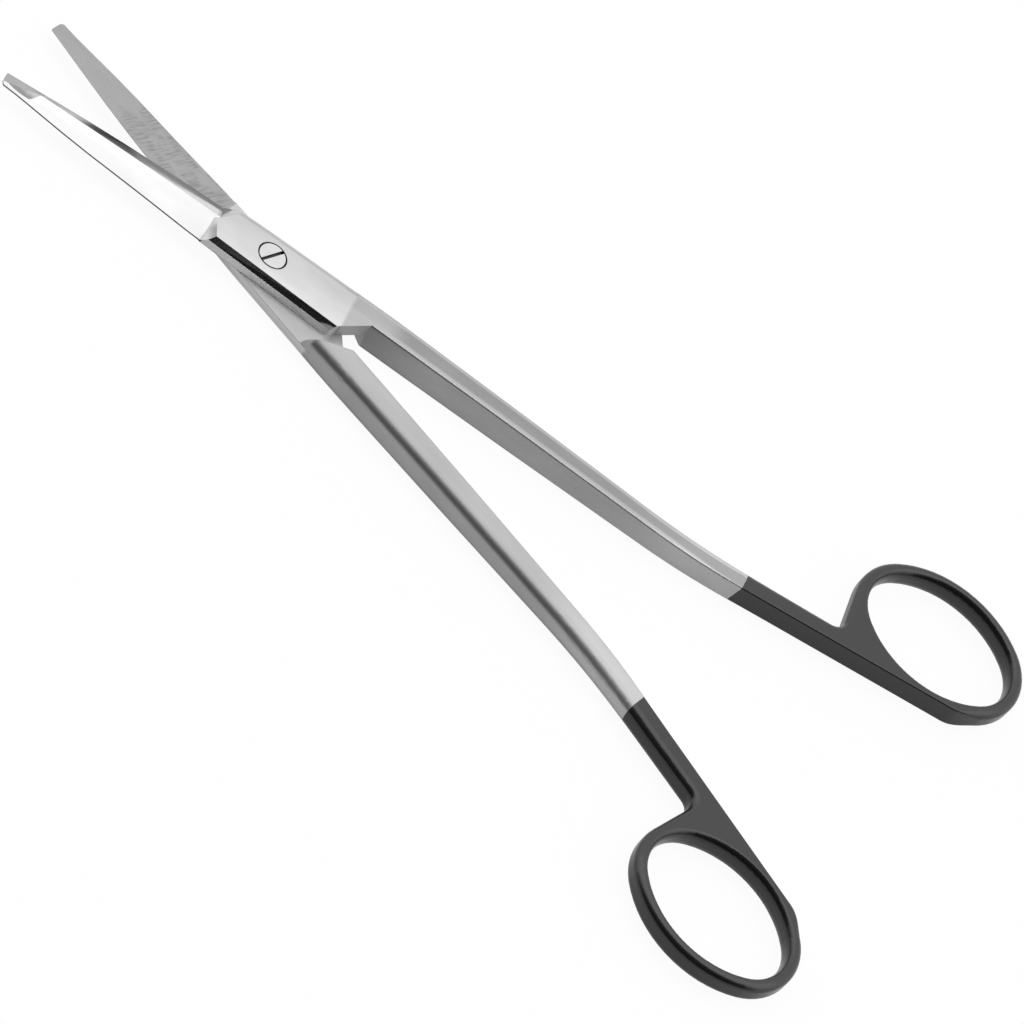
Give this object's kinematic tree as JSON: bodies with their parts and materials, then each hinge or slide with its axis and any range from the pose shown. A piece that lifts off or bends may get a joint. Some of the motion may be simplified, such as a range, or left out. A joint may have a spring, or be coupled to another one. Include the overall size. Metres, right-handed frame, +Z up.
{
  "type": "facelift scissors",
  "caption": "Long slender surgical scissors with straight bevelled blades, a slotted pivot screw and black-coated finger rings, half open.",
  "frame": {"origin": "on the pivot screw's axis, in the plane of the lower half's outer face, on which the scissors rest", "axes": "+Z up along the pivot axis, +X along the bisector of the two halves toward the finger rings, +Y toward the upper half's ring"},
  "size_m": [0.2356, 0.1318, 0.0069],
  "materials": {
    "steel": "satin ground stainless steel, blades and joint polished",
    "screw_steel": "polished stainless steel",
    "black_coating": "semi-gloss black coating on the handles"
  },
  "bodies": {
    "lower": {"lower_half": "steel", "pivot_screw": "screw_steel"},
    "upper": {"upper_half": "steel"}
  },
  "joints": [
    {"name": "pivot", "type": "hinge", "parent": "lower", "child": "upper", "pos_m": [0, 0, 0.00345], "axis": [0, 0, 1], "range_deg": [-18.9, 61.1]}
  ]
}
